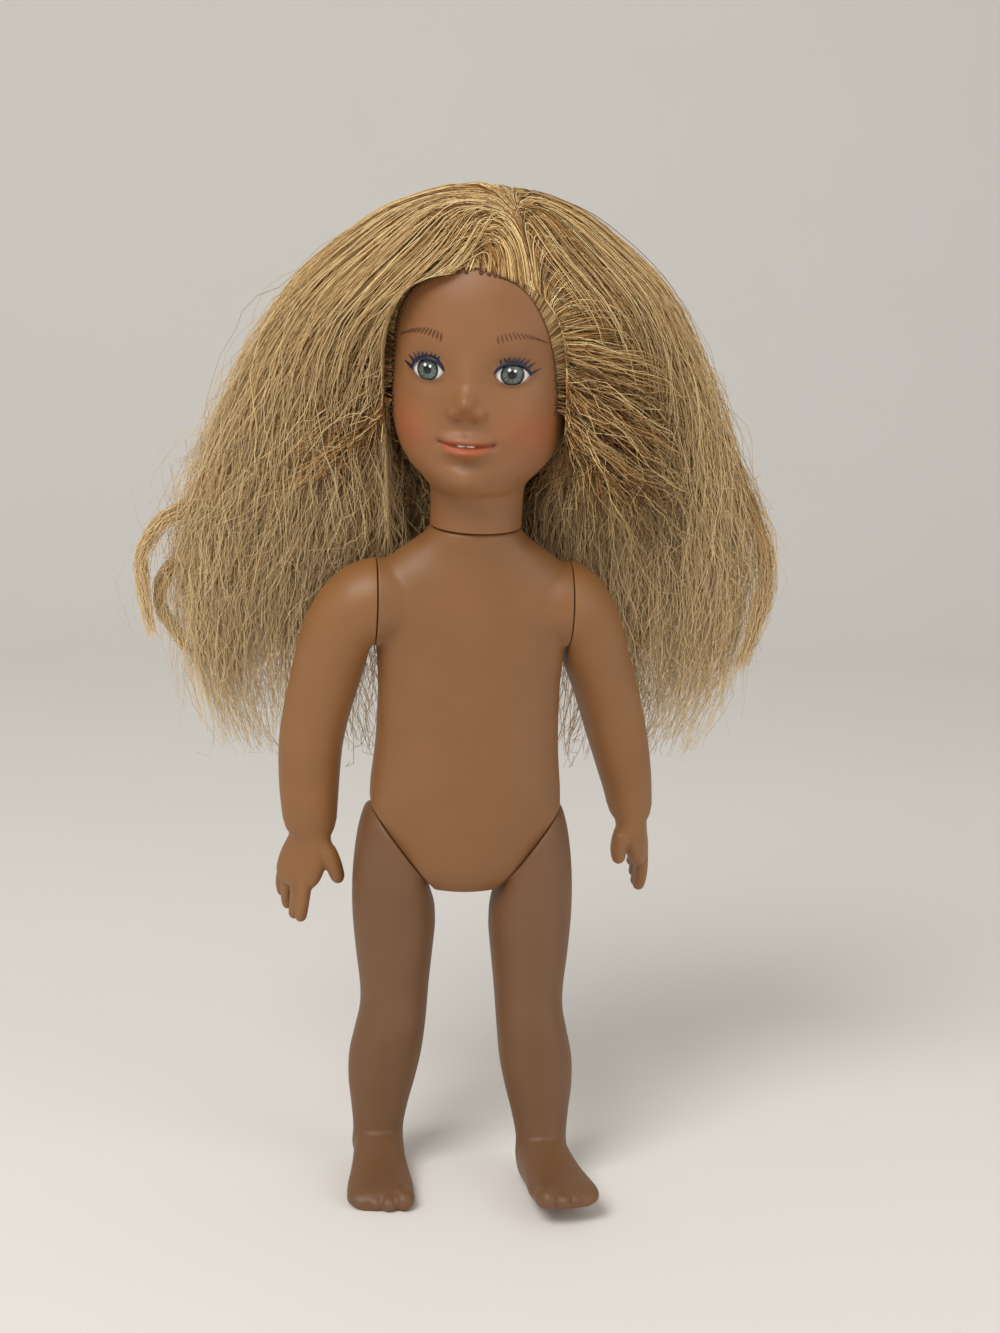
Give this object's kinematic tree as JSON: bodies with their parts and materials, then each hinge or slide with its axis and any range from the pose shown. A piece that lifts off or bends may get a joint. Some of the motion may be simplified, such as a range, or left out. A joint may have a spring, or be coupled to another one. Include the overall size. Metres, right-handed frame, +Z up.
{
  "type": "miniature play doll",
  "caption": "Small jointed vinyl play doll with long loose blond rooted hair, turning head and swinging arms and legs, standing on its own feet.",
  "frame": {"origin": "middle of the doll's bounding box, on the floor under its feet", "axes": "+Z up from the feet to the crown, -Y ahead, the way the chest faces, +X towards the doll's own left"},
  "size_m": [0.1074, 0.045, 0.164],
  "materials": {
    "skin_vinyl": "satin soft vinyl, tan brown",
    "torso_vinyl": "satin hard vinyl, tan brown",
    "plug_nylon": "natural moulded",
    "eye_acrylic": "gloss white with a printed iris",
    "hair_fibre": "fine glossy golden blond fibre"
  },
  "bodies": {
    "torso": {"torso_front": "torso_vinyl", "torso_back": "torso_vinyl", "neck_plug": "plug_nylon"},
    "head": {"head_shell": "skin_vinyl", "eye_right": "eye_acrylic", "eye_left": "eye_acrylic", "root_lining": "hair_fibre", "hair_crown": "hair_fibre", "hair_right": "hair_fibre", "hair_back": "hair_fibre", "hair_left": "hair_fibre", "curl_right_upper": "hair_fibre", "curl_right_lower": "hair_fibre", "curl_left_outer": "hair_fibre"},
    "arm_right": {"arm_right": "skin_vinyl"},
    "arm_left": {"arm_left": "skin_vinyl"},
    "leg_right": {"leg_right": "skin_vinyl"},
    "leg_left": {"leg_left": "skin_vinyl"}
  },
  "joints": [
    {"name": "head_turn", "type": "hinge", "parent": "torso", "child": "head", "pos_m": [0.00088, -0.00109, 0.10991], "axis": [0, -0.1045, 0.9945], "range_deg": [-76, 104], "deforming": ["hair_right", "hair_back", "hair_left", "curl_right_upper", "curl_right_lower", "curl_left_outer"]},
    {"name": "shoulder_right", "type": "hinge", "parent": "torso", "child": "arm_right", "pos_m": [-0.01472, 0.00022, 0.09748], "axis": [1, 0, 0], "continuous": true},
    {"name": "shoulder_left", "type": "hinge", "parent": "torso", "child": "arm_left", "pos_m": [0.01648, 0.00022, 0.09748], "axis": [1, 0, 0], "continuous": true},
    {"name": "hip_right", "type": "hinge", "parent": "torso", "child": "leg_right", "pos_m": [-0.00927, 0.00447, 0.057], "axis": [-0.788, 0.0644, -0.6123], "range_deg": [-40, 100]},
    {"name": "hip_left", "type": "hinge", "parent": "torso", "child": "leg_left", "pos_m": [0.01103, 0.00447, 0.057], "axis": [-0.788, -0.0644, 0.6123], "range_deg": [-50, 90]}
  ]
}
